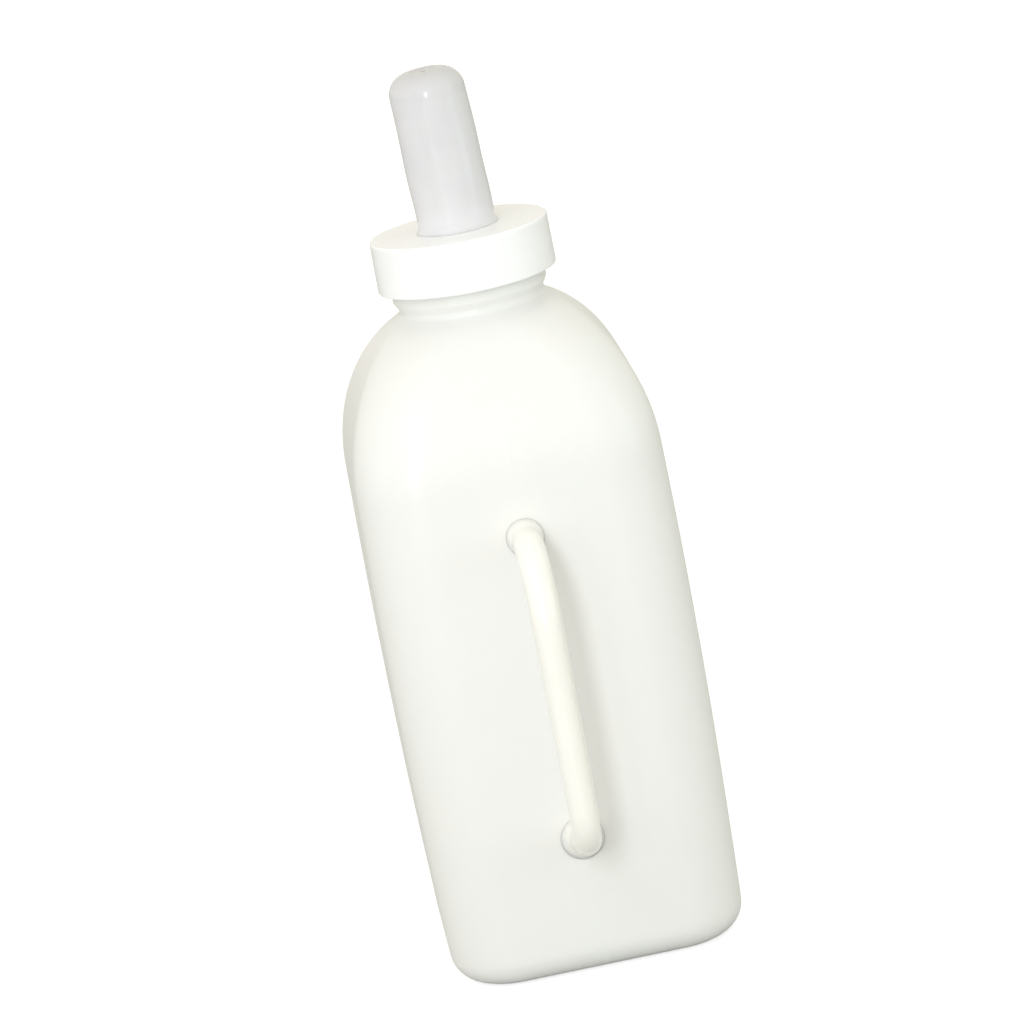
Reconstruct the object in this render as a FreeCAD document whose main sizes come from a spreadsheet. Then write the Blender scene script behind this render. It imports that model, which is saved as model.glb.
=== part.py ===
import FreeCAD, Part
import math
import os
import Sketcher
from FreeCAD import Placement, Rotation, Vector

# Calf feeding bottle, in millimetres. +Z is up, the origin is the centre of the base where it stands,
# and the handle is on the -Y side. Four pieces: the blown bottle, the moulded-in handle, the screw ring
# and the teat, whose flange the ring clamps on the neck's rim.

DIMENSIONS = [
    # blown bottle: a rounded square that swells slightly at mid height and closes in a dome
    ("base_half_width", 54.6),
    ("middle_half_width", 57.0),
    ("corner_radius", 24.4),
    ("middle_height", 125.0),
    ("shoulder_height", 186.0),
    ("dome_rise", 67.0),
    ("base_edge_radius", 11.0),
    ("wall", 1.7),
    ("last_flat", 0.4),
    ("push_up_half_width", 38.0),
    ("push_up_corner_radius", 14.0),
    ("push_up_depth", 4.0),
    ("push_up_inset", 9.0),
    # neck and its thread
    ("waist_radius", 26.9),
    ("waist_overlap", 1.2),
    ("waist_fillet", 2.0),
    ("neck_radius", 28.5),
    ("neck_bore_radius", 25.0),
    ("neck_root_height", 238.0),
    ("waist_height", 247.0),
    ("neck_flare_height", 249.6),
    ("thread_lead", 5.0),
    ("thread_turns", 1.75),
    ("thread_depth", 1.7),
    ("thread_crest", 1.1),
    ("thread_root", 2.5),
    ("neck_thread_start", 254.9),
    ("thread_bite", 0.6),
    # screw ring
    ("ring_radius", 33.0),
    ("ring_bottom", 254.0),
    ("ring_top", 273.0),
    ("ring_inner_radius", 30.8),
    ("ring_plate", 2.0),
    ("ring_hole_radius", 14.8),
    ("ring_edge_radius", 0.9),
    ("ring_thread_start", 257.4),
    # teat
    ("teat_top", 332.2),
    ("teat_base_radius", 14.25),
    ("teat_end_radius", 13.95),
    ("teat_edge_radius", 8.0),
    ("teat_wall", 2.2),
    ("teat_end_wall", 3.2),
    ("teat_neck_radius", 14.45),
    ("teat_bead_radius", 15.4),
    ("teat_bead_height", 1.6),
    ("teat_flange_radius", 27.6),
    ("teat_flange", 2.2),
    ("teat_clearance", 0.3),
    ("rim_gap", 0.05),
    ("milk_hole_radius", 1.6),
    ("dimple_radius", 5.2),
    ("dimple_depth", 0.5),
    ("vent_hole_radius", 0.6),
    ("vent_place", 21.0),
    ("vent_groove_width", 1.6),
    ("vent_groove_depth", 0.8),
    # handle
    ("handle_upper_height", 167.5),
    ("handle_lower_height", 53.0),
    ("handle_bar_reach", 92.6),
    ("handle_upper_face", 56.65),
    ("handle_lower_face", 56.1),
    ("handle_arm_slope", 14.0),
    ("handle_upper_bend", 25.0),
    ("handle_lower_bend", 15.0),
    ("handle_rod_radius", 5.5),
    ("upper_foot_radius", 7.3),
    ("lower_foot_radius", 8.8),
    ("foot_flare", 10.0),
    ("foot_proud", 0.3),
    ("foot_seat", 1.0),
    ("lug_depth", 5.4),
    ("lug_neck_radius", 6.2),
    ("lug_end_radius", 7.8),
    ("lug_fit", 0.05),
    ("boss_front_radius", 13.0),
    ("boss_back_radius", 10.0),
    ("boss_depth", 7.4),
    # how far a cut runs on past the face that it opens
    ("overrun", 1.0),
]
# Sections of the shell between base and shoulder, and between shoulder and waist.
SIDE_STEPS = 15
DOME_STEPS = 6
# The flare of a handle foot: how far along it, and how much of the foot's extra radius is left there.
FLARE_STEPS = [(0.0, 1.0), (0.22, 0.52), (0.55, 0.21), (1.0, 0.06)]
# How near an edge is to a height or a radius when it counts as lying there, and the least that a cut takes.
EDGE_TOLERANCE = 0.05
LEAST_CUT = 0.1
# Worked out from the sheet: the teat's flange fills the gap under the ring's plate, down to the rim.
FLANGE_TOP = "(Dims.ring_top - Dims.ring_plate - Dims.teat_clearance)"
NECK_RIM = f"({FLANGE_TOP} - Dims.teat_flange - Dims.rim_gap)"
ARM_RISE = "tan(Dims.handle_arm_slope * 1 deg)"
# Each foot: its name, its height, how far its wall is from the Z axis, and its radius.
HANDLE_FEET = [
    ("upper", "Dims.handle_upper_height", "Dims.handle_upper_face", "Dims.upper_foot_radius"),
    ("lower", "Dims.handle_lower_height", "Dims.handle_lower_face", "Dims.lower_foot_radius"),
]

doc = FreeCAD.newDocument("calf_feeding_bottle")


def make_sheet():
    """One row for each driving dimension: its name, its value and an alias."""
    sheet = doc.addObject("Spreadsheet::Sheet", "Dims")
    for row, (alias, size) in enumerate(DIMENSIONS, start=1):
        sheet.set(f"A{row}", alias)
        sheet.set(f"B{row}", str(size))
        sheet.setAlias(f"B{row}", alias)
    doc.recompute()
    return sheet


sheet = make_sheet()


def value(expression):
    """The number that an expression on the sheet's dimensions gives."""
    result = sheet.evalExpression(expression)
    return float(getattr(result, "Value", result))


def new_body(name):
    """An empty body whose label names the sub-part and its file."""
    body = doc.addObject("PartDesign::Body", name)
    body.Label = name
    return body


def origin_feature(body, role):
    """One of the body's own origin planes or axes."""
    return next(item for item in body.Origin.OriginFeatures if item.Role == role)


def plane_sketch(body, name, plane, offset="0"):
    """An empty sketch on one of the body's origin planes, moved along the plane's normal by offset."""
    sketch = body.newObject("Sketcher::SketchObject", name)
    sketch.AttachmentSupport = [(origin_feature(body, plane), "")]
    sketch.MapMode = "FlatFace"
    sketch.setExpression("AttachmentOffset.Base.z", offset)
    sketch.AttachmentOffset = Placement(Vector(0, 0, value(offset)), Rotation())
    return sketch


def bound(sketch, constraint, name, expression):
    """Adds a dimension to the sketch and binds it to the sheet."""
    index = sketch.addConstraint(constraint)
    sketch.renameConstraint(index, name)
    sketch.setExpression(f"Constraints.{name}", expression)


def outline(body, name, plane, points, offset="0"):
    """A closed outline of straight sides; each corner is a pair of expressions."""
    sketch = plane_sketch(body, name, plane, offset)
    places = [Vector(value(x), value(y), 0) for x, y in points]
    count = len(points)
    for here in range(count):
        sketch.addGeometry(Part.LineSegment(places[here], places[(here + 1) % count]), False)
    for here in range(count):
        sketch.addConstraint(Sketcher.Constraint("Coincident", here, 2, (here + 1) % count, 1))
    for here, (x, y) in enumerate(points):
        across = Sketcher.Constraint("DistanceX", -1, 1, here, 1, places[here].x)
        along = Sketcher.Constraint("DistanceY", -1, 1, here, 1, places[here].y)
        bound(sketch, across, f"x{here}", x)
        bound(sketch, along, f"y{here}", y)
    return sketch


def rounded_square(body, name, height, half_width, corner):
    """A square with rounded corners, centred on the Z axis at a height."""
    sketch = plane_sketch(body, name, "XY_Plane", height)
    half = value(half_width)
    radius = value(corner)
    flat = half - radius
    quarter = math.pi / 2
    for side in range(4):
        turn = Rotation(Vector(0, 0, 1), 90 * side)
        start = turn.multVec(Vector(half, -flat, 0))
        end = turn.multVec(Vector(half, flat, 0))
        centre = turn.multVec(Vector(flat, flat, 0))
        circle = Part.Circle(centre, Vector(0, 0, 1), radius)
        sketch.addGeometry(Part.LineSegment(start, end), False)
        sketch.addGeometry(Part.ArcOfCircle(circle, side * quarter, (side + 1) * quarter), False)
    for side in range(4):
        line = 2 * side
        arc = line + 1
        sketch.addConstraint(Sketcher.Constraint("Tangent", line, 2, arc, 1))
        sketch.addConstraint(Sketcher.Constraint("Tangent", arc, 2, (arc + 1) % 8, 1))
        sketch.addConstraint(Sketcher.Constraint("Horizontal" if side % 2 else "Vertical", line))
    for arc in (3, 5, 7):
        sketch.addConstraint(Sketcher.Constraint("Equal", 1, arc))
    bound(sketch, Sketcher.Constraint("DistanceX", -1, 1, 0, 1, half), "right", half_width)
    bound(sketch, Sketcher.Constraint("DistanceY", -1, 1, 2, 1, half), "back", half_width)
    bound(sketch, Sketcher.Constraint("DistanceX", 4, 1, -1, 1, half), "left", half_width)
    bound(sketch, Sketcher.Constraint("DistanceY", 6, 1, -1, 1, half), "front", half_width)
    bound(sketch, Sketcher.Constraint("Radius", 1, radius), "corner", corner)
    return sketch


def disc(body, name, plane, offset, centre_height, radius):
    """A circle on a plane: its centre is on the plane's vertical axis, or on the origin."""
    sketch = plane_sketch(body, name, plane, offset)
    centre = Vector(0, value(centre_height), 0)
    sketch.addGeometry(Part.Circle(centre, Vector(0, 0, 1), value(radius)), False)
    sketch.addConstraint(Sketcher.Constraint("DistanceX", -1, 1, 0, 3, 0.0))
    bound(sketch, Sketcher.Constraint("DistanceY", -1, 1, 0, 3, centre.y), "up", centre_height)
    bound(sketch, Sketcher.Constraint("Radius", 0, value(radius)), "size", radius)
    return sketch


def loft(body, kind, name, sections, ruled=False):
    """A solid through the sections, added to the body or taken away from it."""
    feature = body.newObject(f"PartDesign::{kind}Loft", name)
    feature.Profile = sections[0]
    feature.Sections = sections[1:]
    feature.Ruled = ruled
    doc.recompute()
    return feature


def revolve(body, name, sketch, kind="Revolution"):
    """The outline turned a full circle about the body's upright axis, added or, as a Groove, cut away."""
    feature = body.newObject(f"PartDesign::{kind}", name)
    feature.Profile = sketch
    feature.ReferenceAxis = (origin_feature(body, "Z_Axis"), [""])
    feature.Angle = 360.0
    doc.recompute()
    return feature


def pocket(body, name, sketch, depth):
    """Cuts the outline down from its plane."""
    feature = body.newObject("PartDesign::Pocket", name)
    feature.Profile = sketch
    feature.setExpression("Length", depth)
    doc.recompute()


def fillet(body, name, base, edges, radius):
    """Rounds the named edges of the base feature."""
    feature = body.newObject("PartDesign::Fillet", name)
    feature.Base = (base, edges)
    feature.setExpression("Radius", radius)
    doc.recompute()
    return feature


def edges_where(shape, test):
    """Names of the edges that pass the test."""
    return [f"Edge{i}" for i, edge in enumerate(shape.Edges, start=1) if test(edge)]


def reach(edge):
    """How far the middle of an edge is from the Z axis."""
    middle = edge.valueAt((edge.FirstParameter + edge.LastParameter) / 2)
    return math.hypot(middle.x, middle.y)


def level_edges(shape, height, beyond="0"):
    """Names of the edges that lie level at a height, farther from the Z axis than beyond."""
    level = value(height)
    limit = value(beyond)

    def test(edge):
        box = edge.BoundBox
        return max(abs(box.ZMin - level), abs(box.ZMax - level)) < EDGE_TOLERANCE and reach(edge) > limit
    return edges_where(shape, test)


def waist_ring(edge):
    """A test for the edges where the neck's foot comes out of the dome."""
    on_neck = abs(reach(edge) - value("Dims.waist_radius")) < EDGE_TOLERANCE
    above_root = edge.BoundBox.ZMin > value("Dims.neck_root_height") + EDGE_TOLERANCE
    below_flare = edge.BoundBox.ZMax < value("Dims.waist_height") - EDGE_TOLERANCE
    return on_neck and above_root and below_flare


# ---------------------------------------------------------------- blown bottle

def swelling_half_width(height):
    """Half width of the bottle's straight part at a height: a shallow parabola, widest at mid height."""
    swell = "(Dims.middle_half_width - Dims.base_half_width)"
    return f"(Dims.middle_half_width - {swell} * (({height}) / Dims.middle_height - 1)^2)"


def shell_sections(body, prefix, inset, waist):
    """Rounded squares from the base to the waist of the neck, each drawn in by inset.

    Up to the shoulder the half width follows the swell of the sides. Above it the half width and the
    height follow a quarter ellipse, while the flat stretch between the corners shrinks to nothing.
    The sections are nearly evenly spaced along the side, so that the surface through them stays smooth.
    """
    top = f"({swelling_half_width('Dims.shoulder_height')} - {inset})"
    sections = []
    for step in range(SIDE_STEPS + 1):
        height = f"({inset} + (Dims.shoulder_height - {inset}) * {step} / {SIDE_STEPS})"
        sections.append((height, f"{swelling_half_width(height)} - {inset}", f"Dims.corner_radius - {inset}"))
    for step in range(1, DOME_STEPS + 1):
        angle = f"(acos({waist} / {top}) * {step} / {DOME_STEPS})"
        height = f"Dims.shoulder_height + (Dims.dome_rise - {inset}) * sin({angle})"
        width = f"{top} * cos({angle})"
        share = f"(({width} - {waist}) / ({top} - {waist}))"
        flat = f"(Dims.last_flat + ({top} - (Dims.corner_radius - {inset}) - Dims.last_flat) * {share})"
        sections.append((height, width, f"{width} - {flat}"))
    return [rounded_square(body, f"{prefix}_{i}", *section) for i, section in enumerate(sections)]


def make_bottle():
    """The blown shell with its neck and thread, its pushed-up base and the pockets that hold the handle."""
    body = new_body("bottle_body")
    outside = shell_sections(body, "outer", "0", "(Dims.waist_radius - Dims.waist_overlap)")
    loft(body, "Additive", "outside", outside)
    neck_points = [
        ("0", "Dims.neck_root_height"),
        ("Dims.waist_radius", "Dims.neck_root_height"),
        ("Dims.waist_radius", "Dims.waist_height"),
        ("Dims.neck_radius", "Dims.neck_flare_height"),
        ("Dims.neck_radius", NECK_RIM),
        ("0", NECK_RIM),
    ]
    neck = revolve(body, "neck", outline(body, "neck_outline", "XZ_Plane", neck_points))
    waist_edges = edges_where(neck.Shape, waist_ring)
    fillet(body, "waist_edge", neck, waist_edges, "Dims.waist_fillet")

    inside = shell_sections(body, "inner", "Dims.wall", "(Dims.neck_bore_radius - Dims.waist_overlap)")
    hollow = loft(body, "Subtractive", "hollow", inside)
    floor_edges = level_edges(hollow.Shape, "Dims.wall")
    inner_edge = fillet(body, "inner_base_edge", hollow, floor_edges, "Dims.base_edge_radius - Dims.wall")
    fillet(body, "base_edge", inner_edge, level_edges(inner_edge.Shape, "0"), "Dims.base_edge_radius")

    bore_points = [
        ("0", "Dims.neck_root_height"),
        ("Dims.neck_bore_radius", "Dims.neck_root_height"),
        ("Dims.neck_bore_radius", f"{NECK_RIM} + Dims.overrun"),
        ("0", f"{NECK_RIM} + Dims.overrun"),
    ]
    revolve(body, "bore", outline(body, "bore_outline", "XZ_Plane", bore_points), "Groove")
    push_up(body)
    for foot in HANDLE_FEET:
        lug_pocket(body, *foot)
    thread(body, "neck_thread", "Dims.neck_radius - Dims.thread_bite", "Dims.thread_depth + Dims.thread_bite",
           "Dims.neck_thread_start")
    return body


def push_up(body):
    """The base is pushed up inside a flat standing rim: a raised floor inside, then the recess below it."""
    half = "Dims.push_up_half_width"
    corner = "Dims.push_up_corner_radius"
    inner_half = f"{half} - Dims.push_up_inset"
    inner_corner = f"{corner} - Dims.push_up_inset"
    floor = [
        rounded_square(body, "floor_low", "Dims.wall / 2", f"{half} + Dims.wall", f"{corner} + Dims.wall"),
        rounded_square(body, "floor_high", "Dims.push_up_depth + Dims.wall", f"{inner_half} + Dims.wall",
                       f"{inner_corner} + Dims.wall"),
    ]
    loft(body, "Additive", "raised_floor", floor, ruled=True)
    recess = [
        rounded_square(body, "recess_mouth", "0", half, corner),
        rounded_square(body, "recess_roof", "Dims.push_up_depth", inner_half, inner_corner),
    ]
    loft(body, "Subtractive", "recess", recess, ruled=True)


def plug(body, kind, name, height, front, back):
    """A round plug or hole square to the front wall; an end is a distance from the Z axis and a radius."""
    ends = [
        disc(body, f"{name}_{end}", "XZ_Plane", distance, height, radius)
        for end, (distance, radius) in (("front", front), ("back", back))
    ]
    loft(body, kind, name, ends)


def lug_pocket(body, name, height, face, foot_radius):
    """A thickened boss inside the front wall, with the seat and the undercut pocket of one handle foot."""
    boss_front = (f"({face} - Dims.wall / 2)", "Dims.boss_front_radius")
    boss_back = (f"({face} - Dims.boss_depth)", "Dims.boss_back_radius")
    plug(body, "Additive", f"{name}_boss", height, boss_front, boss_back)
    seat_radius = f"{foot_radius} + Dims.lug_fit"
    seat_floor = f"({face} - Dims.foot_seat)"
    seat_front = (f"({face} + Dims.overrun)", seat_radius)
    plug(body, "Subtractive", f"{name}_seat", height, seat_front, (seat_floor, seat_radius))
    pocket_front = (seat_floor, "Dims.lug_neck_radius + Dims.lug_fit")
    pocket_back = (f"({face} - Dims.lug_depth - Dims.lug_fit)", "Dims.lug_end_radius + Dims.lug_fit")
    plug(body, "Subtractive", f"{name}_pocket", height, pocket_front, pocket_back)


def thread(body, name, root, depth, start):
    """A right-hand thread ridge: a trapezium carried up a helix, from a root radius towards its crest.

    A positive depth points the crest outwards, a negative one inwards.
    """
    crest = f"({root} + {depth})"
    points = [
        (root, start),
        (crest, f"{start} + (Dims.thread_root - Dims.thread_crest) / 2"),
        (crest, f"{start} + (Dims.thread_root + Dims.thread_crest) / 2"),
        (root, f"{start} + Dims.thread_root"),
    ]
    helix = body.newObject("PartDesign::AdditiveHelix", name)
    helix.Profile = outline(body, f"{name}_outline", "XZ_Plane", points)
    helix.ReferenceAxis = (origin_feature(body, "Z_Axis"), [""])
    helix.Mode = "pitch-turns-angle"
    helix.setExpression("Pitch", "Dims.thread_lead")
    helix.setExpression("Turns", "Dims.thread_turns")
    helix.LeftHanded = False
    doc.recompute()


# ---------------------------------------------------------------- handle

def bend(corner, before, after, radius):
    """The tangent arc that rounds a corner: where it starts, where it ends and its circle's centre."""
    back = (before - corner).normalize()
    ahead = (after - corner).normalize()
    half_angle = back.getAngle(ahead) / 2
    run = radius / math.tan(half_angle)
    middle = (back + ahead).normalize()
    return corner + back * run, corner + ahead * run, corner + middle * (radius / math.sin(half_angle))


def bow_line(body):
    """The rod's centre line, from the upper foot round the two bends to the lower foot."""
    sketch = plane_sketch(body, "bow_line", "YZ_Plane")
    reach = value("Dims.handle_bar_reach")
    start = Vector(-value("Dims.handle_upper_face"), value("Dims.handle_upper_height"), 0)
    end = Vector(-value("Dims.handle_lower_face"), value("Dims.handle_lower_height"), 0)
    rise = (reach - value("Dims.handle_lower_face")) * value(ARM_RISE)
    top = Vector(-reach, start.y, 0)
    bottom = Vector(-reach, end.y + rise, 0)
    top_in, top_out, top_centre = bend(top, start, bottom, value("Dims.handle_upper_bend"))
    low_in, low_out, low_centre = bend(bottom, top, end, value("Dims.handle_lower_bend"))
    low_end = math.radians(270 - value("Dims.handle_arm_slope"))
    top_circle = Part.Circle(top_centre, Vector(0, 0, 1), value("Dims.handle_upper_bend"))
    low_circle = Part.Circle(low_centre, Vector(0, 0, 1), value("Dims.handle_lower_bend"))
    sketch.addGeometry(Part.LineSegment(start, top_in), False)
    sketch.addGeometry(Part.ArcOfCircle(top_circle, math.pi / 2, math.pi), False)
    sketch.addGeometry(Part.LineSegment(top_out, low_in), False)
    sketch.addGeometry(Part.ArcOfCircle(low_circle, math.pi, low_end), False)
    sketch.addGeometry(Part.LineSegment(low_out, end), False)
    for line, line_end, arc, arc_end in ((0, 2, 1, 1), (2, 1, 1, 2), (2, 2, 3, 1), (4, 1, 3, 2)):
        sketch.addConstraint(Sketcher.Constraint("Tangent", line, line_end, arc, arc_end))
    sketch.addConstraint(Sketcher.Constraint("Horizontal", 0))
    sketch.addConstraint(Sketcher.Constraint("Vertical", 2))
    top_radius = Sketcher.Constraint("Radius", 1, value("Dims.handle_upper_bend"))
    low_radius = Sketcher.Constraint("Radius", 3, value("Dims.handle_lower_bend"))
    bound(sketch, top_radius, "upper_bend", "Dims.handle_upper_bend")
    bound(sketch, low_radius, "lower_bend", "Dims.handle_lower_bend")
    places = [
        ("DistanceX", 0, 1, "upper_face", "-Dims.handle_upper_face"),
        ("DistanceY", 0, 1, "upper_height", "Dims.handle_upper_height"),
        ("DistanceX", 2, 1, "bar_reach", "-Dims.handle_bar_reach"),
        ("DistanceX", 4, 2, "lower_face", "-Dims.handle_lower_face"),
        ("DistanceY", 4, 2, "lower_height", "Dims.handle_lower_height"),
    ]
    for kind, line, point, name, expression in places:
        bound(sketch, Sketcher.Constraint(kind, -1, 1, line, point, value(expression)), name, expression)
    slope = Sketcher.Constraint("Angle", 4, -math.radians(value("Dims.handle_arm_slope")))
    bound(sketch, slope, "arm_slope", "-Dims.handle_arm_slope * 1 deg")
    return sketch


def make_handle():
    """A round rod bent to a bow: level upper arm, upright bar, lower arm sloping down to the wall."""
    body = new_body("handle")
    path = bow_line(body)
    rod = disc(body, "rod_section", "XZ_Plane", "Dims.handle_upper_face", "Dims.handle_upper_height",
               "Dims.handle_rod_radius")
    doc.recompute()
    bow = body.newObject("PartDesign::AdditivePipe", "bow")
    bow.Profile = rod
    bow.Spine = (path, [])
    doc.recompute()
    for foot, rise in zip(HANDLE_FEET, ("0", ARM_RISE)):
        handle_foot(body, *foot, rise)
    return body


def handle_foot(body, name, height, face, foot_radius, rise):
    """One foot: a flare that narrows to the rod, a flat flange in its seat and the lug locked behind it."""
    sections = []
    for step, (along, share) in enumerate(FLARE_STEPS):
        distance = f"(Dims.foot_proud + {along} * Dims.foot_flare)"
        radius = f"Dims.handle_rod_radius + ({foot_radius} - Dims.handle_rod_radius) * {share}"
        sections.append(disc(body, f"{name}_flare_{step}", "XZ_Plane", f"({face} + {distance})",
                             f"{height} + {distance} * {rise}", radius))
    loft(body, "Additive", f"{name}_flare", sections)
    flange_front = (f"({face} + Dims.foot_proud)", foot_radius)
    flange_back = (f"({face} - Dims.foot_seat)", foot_radius)
    plug(body, "Additive", f"{name}_flange", height, flange_front, flange_back)
    lug_front = (f"({face} - Dims.foot_seat)", "Dims.lug_neck_radius")
    lug_back = (f"({face} - Dims.lug_depth)", "Dims.lug_end_radius")
    plug(body, "Additive", f"{name}_lug", height, lug_front, lug_back)


# ---------------------------------------------------------------- screw ring

def make_ring():
    """A cup turned upside down with a hole in its top plate and a thread inside its skirt."""
    body = new_body("screw_ring")
    plate_under = "(Dims.ring_top - Dims.ring_plate)"
    points = [
        ("Dims.ring_hole_radius", plate_under),
        ("Dims.ring_inner_radius", plate_under),
        ("Dims.ring_inner_radius", "Dims.ring_bottom"),
        ("Dims.ring_radius", "Dims.ring_bottom"),
        ("Dims.ring_radius", "Dims.ring_top"),
        ("Dims.ring_hole_radius", "Dims.ring_top"),
    ]
    cup = revolve(body, "cup", outline(body, "cup_outline", "XZ_Plane", points))
    skirt_middle = "(Dims.ring_inner_radius + Dims.ring_radius) / 2"
    rims = level_edges(cup.Shape, "Dims.ring_top", skirt_middle)
    rims += level_edges(cup.Shape, "Dims.ring_bottom", skirt_middle)
    fillet(body, "outer_edges", cup, rims, "Dims.ring_edge_radius")
    thread(body, "ring_thread", "Dims.ring_inner_radius + Dims.thread_bite",
           "-(Dims.thread_depth + Dims.thread_bite)", "Dims.ring_thread_start")
    return body


# ---------------------------------------------------------------- teat

def make_teat():
    """A hollow finger of silicone with a holding groove for the ring's plate and a sealing flange."""
    body = new_body("teat")
    flange_top = FLANGE_TOP
    bead_foot = "(Dims.ring_top + Dims.teat_clearance)"
    rim = f"({NECK_RIM} + Dims.rim_gap)"
    inner = "(Dims.teat_base_radius - Dims.teat_wall)"
    points = [
        (inner, rim),
        ("Dims.teat_flange_radius", rim),
        ("Dims.teat_flange_radius", flange_top),
        ("Dims.teat_neck_radius", flange_top),
        ("Dims.teat_neck_radius", bead_foot),
        ("Dims.teat_bead_radius", bead_foot),
        ("Dims.teat_base_radius", f"{bead_foot} + Dims.teat_bead_height"),
        ("Dims.teat_end_radius", "Dims.teat_top"),
        ("Dims.dimple_radius", "Dims.teat_top"),
        ("Dims.dimple_radius - Dims.dimple_depth", "Dims.teat_top - Dims.dimple_depth"),
        ("Dims.milk_hole_radius", "Dims.teat_top - Dims.dimple_depth"),
        ("Dims.milk_hole_radius", "Dims.teat_top - Dims.teat_end_wall"),
        ("Dims.teat_end_radius - Dims.teat_wall", "Dims.teat_top - Dims.teat_end_wall"),
    ]
    finger = revolve(body, "finger", outline(body, "finger_outline", "XZ_Plane", points))
    past_holes = "Dims.dimple_radius + Dims.dimple_depth"
    outer_edge = level_edges(finger.Shape, "Dims.teat_top", past_holes)
    rounded = fillet(body, "end_edge", finger, outer_edge, "Dims.teat_edge_radius")
    inner_edge = level_edges(rounded.Shape, "Dims.teat_top - Dims.teat_end_wall", past_holes)
    fillet(body, "inner_end_edge", rounded, inner_edge, "Dims.teat_edge_radius - Dims.teat_wall")
    air_vent(body, flange_top)
    return body


def air_vent(body, flange_top):
    """Air gets back into the bottle through a pin hole in the flange, fed by a groove across its top."""
    hole = disc(body, "vent_hole_outline", "XY_Plane", flange_top, "Dims.vent_place", "Dims.vent_hole_radius")
    pocket(body, "vent_hole", hole, "Dims.teat_flange + Dims.overrun")
    half = "Dims.vent_groove_width / 2"
    corners = [
        (f"-{half}", "Dims.vent_place - Dims.vent_groove_width"),
        (half, "Dims.vent_place - Dims.vent_groove_width"),
        (half, "Dims.teat_flange_radius + Dims.overrun"),
        (f"-{half}", "Dims.teat_flange_radius + Dims.overrun"),
    ]
    pocket(body, "vent_groove", outline(body, "vent_groove_outline", "XY_Plane", corners, flange_top),
           "Dims.vent_groove_depth")


# ---------------------------------------------------------------- checks and files

def check_features():
    """Stops on any failed object, and on any cut that took nothing away."""
    for item in doc.Objects:
        if "Invalid" in item.State or "Error" in item.State:
            raise RuntimeError(f"{item.Name} failed: {item.State}")
        cuts = item.TypeId in ("PartDesign::Groove", "PartDesign::Pocket", "PartDesign::SubtractiveLoft")
        if cuts and item.Shape.Volume > item.BaseFeature.Shape.Volume - LEAST_CUT:
            raise RuntimeError(f"{item.Name} cut nothing")


def write_parts(bodies):
    """One STEP file for each sub-part, named by its label."""
    os.makedirs("parts", exist_ok=True)
    for body in bodies:
        shape = body.Shape
        if shape.isNull() or not shape.isValid() or len(shape.Solids) != 1:
            raise RuntimeError(f"{body.Label} is not one valid solid")
        shape.exportStep(f"parts/{body.Label}.step")
        print(f"{body.Label}: {shape.Volume / 1000:.1f} cm3")


made = [make_bottle(), make_handle(), make_ring(), make_teat()]
doc.recompute()
check_features()
write_parts(made)
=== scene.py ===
# %% [markdown]
# # A calf feeding bottle
# A feeding bottle for calves stands on a plain floor: a milky blown bottle with a bow handle moulded
# into its front wall, a white screw ring, and a long soft teat. The engineering model is loaded first
# and never changed. Every piece made below takes its place from that frame, in metres.

# %% Load the frame
import math

import bpy
import numpy as np
from mathutils import Matrix, Vector


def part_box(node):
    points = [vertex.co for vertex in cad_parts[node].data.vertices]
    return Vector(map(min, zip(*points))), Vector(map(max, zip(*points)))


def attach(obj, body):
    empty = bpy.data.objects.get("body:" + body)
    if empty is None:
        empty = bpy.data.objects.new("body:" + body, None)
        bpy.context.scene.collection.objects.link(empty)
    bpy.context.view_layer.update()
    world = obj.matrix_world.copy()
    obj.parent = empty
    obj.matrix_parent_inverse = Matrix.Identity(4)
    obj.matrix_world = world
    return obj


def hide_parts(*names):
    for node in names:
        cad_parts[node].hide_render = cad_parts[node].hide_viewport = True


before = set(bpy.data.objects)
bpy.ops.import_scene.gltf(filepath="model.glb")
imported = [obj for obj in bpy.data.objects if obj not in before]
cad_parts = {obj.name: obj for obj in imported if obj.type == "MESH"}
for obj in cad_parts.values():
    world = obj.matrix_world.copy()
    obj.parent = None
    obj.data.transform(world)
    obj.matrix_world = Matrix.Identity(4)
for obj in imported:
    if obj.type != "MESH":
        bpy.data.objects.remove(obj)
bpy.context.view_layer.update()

MM = 0.001
print("nodes:", sorted(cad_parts))

# %% [markdown]
# The sizes that the surfaces below need. Heights and reaches come from the boxes of the CAD nodes, so
# that they follow the CAD model. The rest are the bottle maker's own sizes, in millimetres.

# %% Sizes from the frame
_, BOTTLE_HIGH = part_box("bottle_body")
HANDLE_LOW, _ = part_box("handle")
RING_LOW, RING_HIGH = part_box("screw_ring")
TEAT_LOW, TEAT_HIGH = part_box("teat")

MIDDLE_HALF = BOTTLE_HIGH.x
BASE_HALF = MIDDLE_HALF - 2.4 * MM
MIDDLE_HEIGHT = 125 * MM
SHOULDER_HEIGHT = 186 * MM
DOME_RISE = 67 * MM
CORNER = 24.4 * MM
WALL = 1.7 * MM
BASE_EDGE = 11 * MM
print("bottle half width", MIDDLE_HALF, "ring", RING_LOW.z, RING_HIGH.z, "teat top", TEAT_HIGH.z)

# %% [markdown]
# ## Surfaces on a grid
# A blown or turned surface is a grid: rows run along a profile and columns run round the axis. Working
# it out with numpy gives the whole surface in a few array sums, with evenly spaced faces, which
# subdivide and shade well. The rows' two ends are closed with a pole or joined to each other.

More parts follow.
